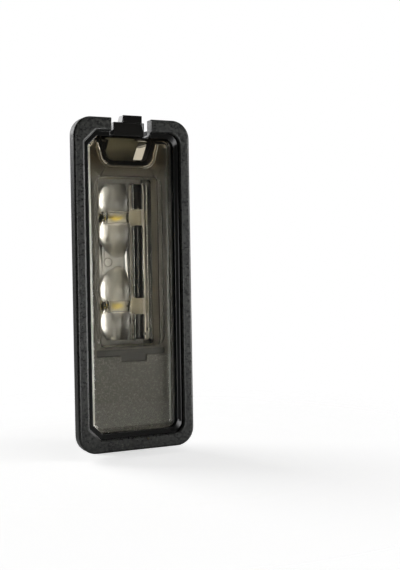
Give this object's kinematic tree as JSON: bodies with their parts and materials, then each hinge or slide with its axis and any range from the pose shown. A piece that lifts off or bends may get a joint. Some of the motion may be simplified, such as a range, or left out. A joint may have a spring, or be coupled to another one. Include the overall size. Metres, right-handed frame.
{
  "type": "number plate lamp",
  "caption": "Upright framed lamp for a car number plate: clear cover over domed LED optics, snap-in release tongue, and a rear housing with a leaning plug socket.",
  "frame": {"origin": "middle of the panel cut-out, in the plane of the seal's back face that presses on the panel", "axes": "+Z along the lamp's length towards the release tongue, -Y out of the clear cover, +X to the right seen from the front"},
  "size_m": [0.028, 0.0198, 0.0772],
  "materials": {
    "frame_plastic": "fine moulded grain",
    "seal_rubber": "matt",
    "clear_cover": "clear, faintly smoked",
    "housing_plastic": "smooth moulded",
    "clear_optic": "clear polished",
    "board_laminate": "black solder mask with a white printed field",
    "led_package": "moulded white",
    "led_phosphor": "silicone with phosphor",
    "terminal_metal": "tinned",
    "component_black": "moulded epoxy",
    "capacitor_ceramic": "fired ceramic"
  },
  "bodies": {
    "root": {"bezel_frame": "frame_plastic", "perimeter_seal": "seal_rubber", "lens_cover": "clear_cover", "rear_housing": "housing_plastic", "optic_insert": "clear_optic", "led_board": "board_laminate", "upper_led": "led_package", "lower_led": "led_package", "upper_phosphor": "led_phosphor", "lower_phosphor": "led_phosphor", "ground_pin": "terminal_metal", "supply_pin": "terminal_metal", "series_resistors": "component_black", "filter_capacitors": "capacitor_ceramic", "blocking_diode": "component_black", "surge_suppressor": "component_black", "current_regulator": "component_black"}
  },
  "joints": []
}
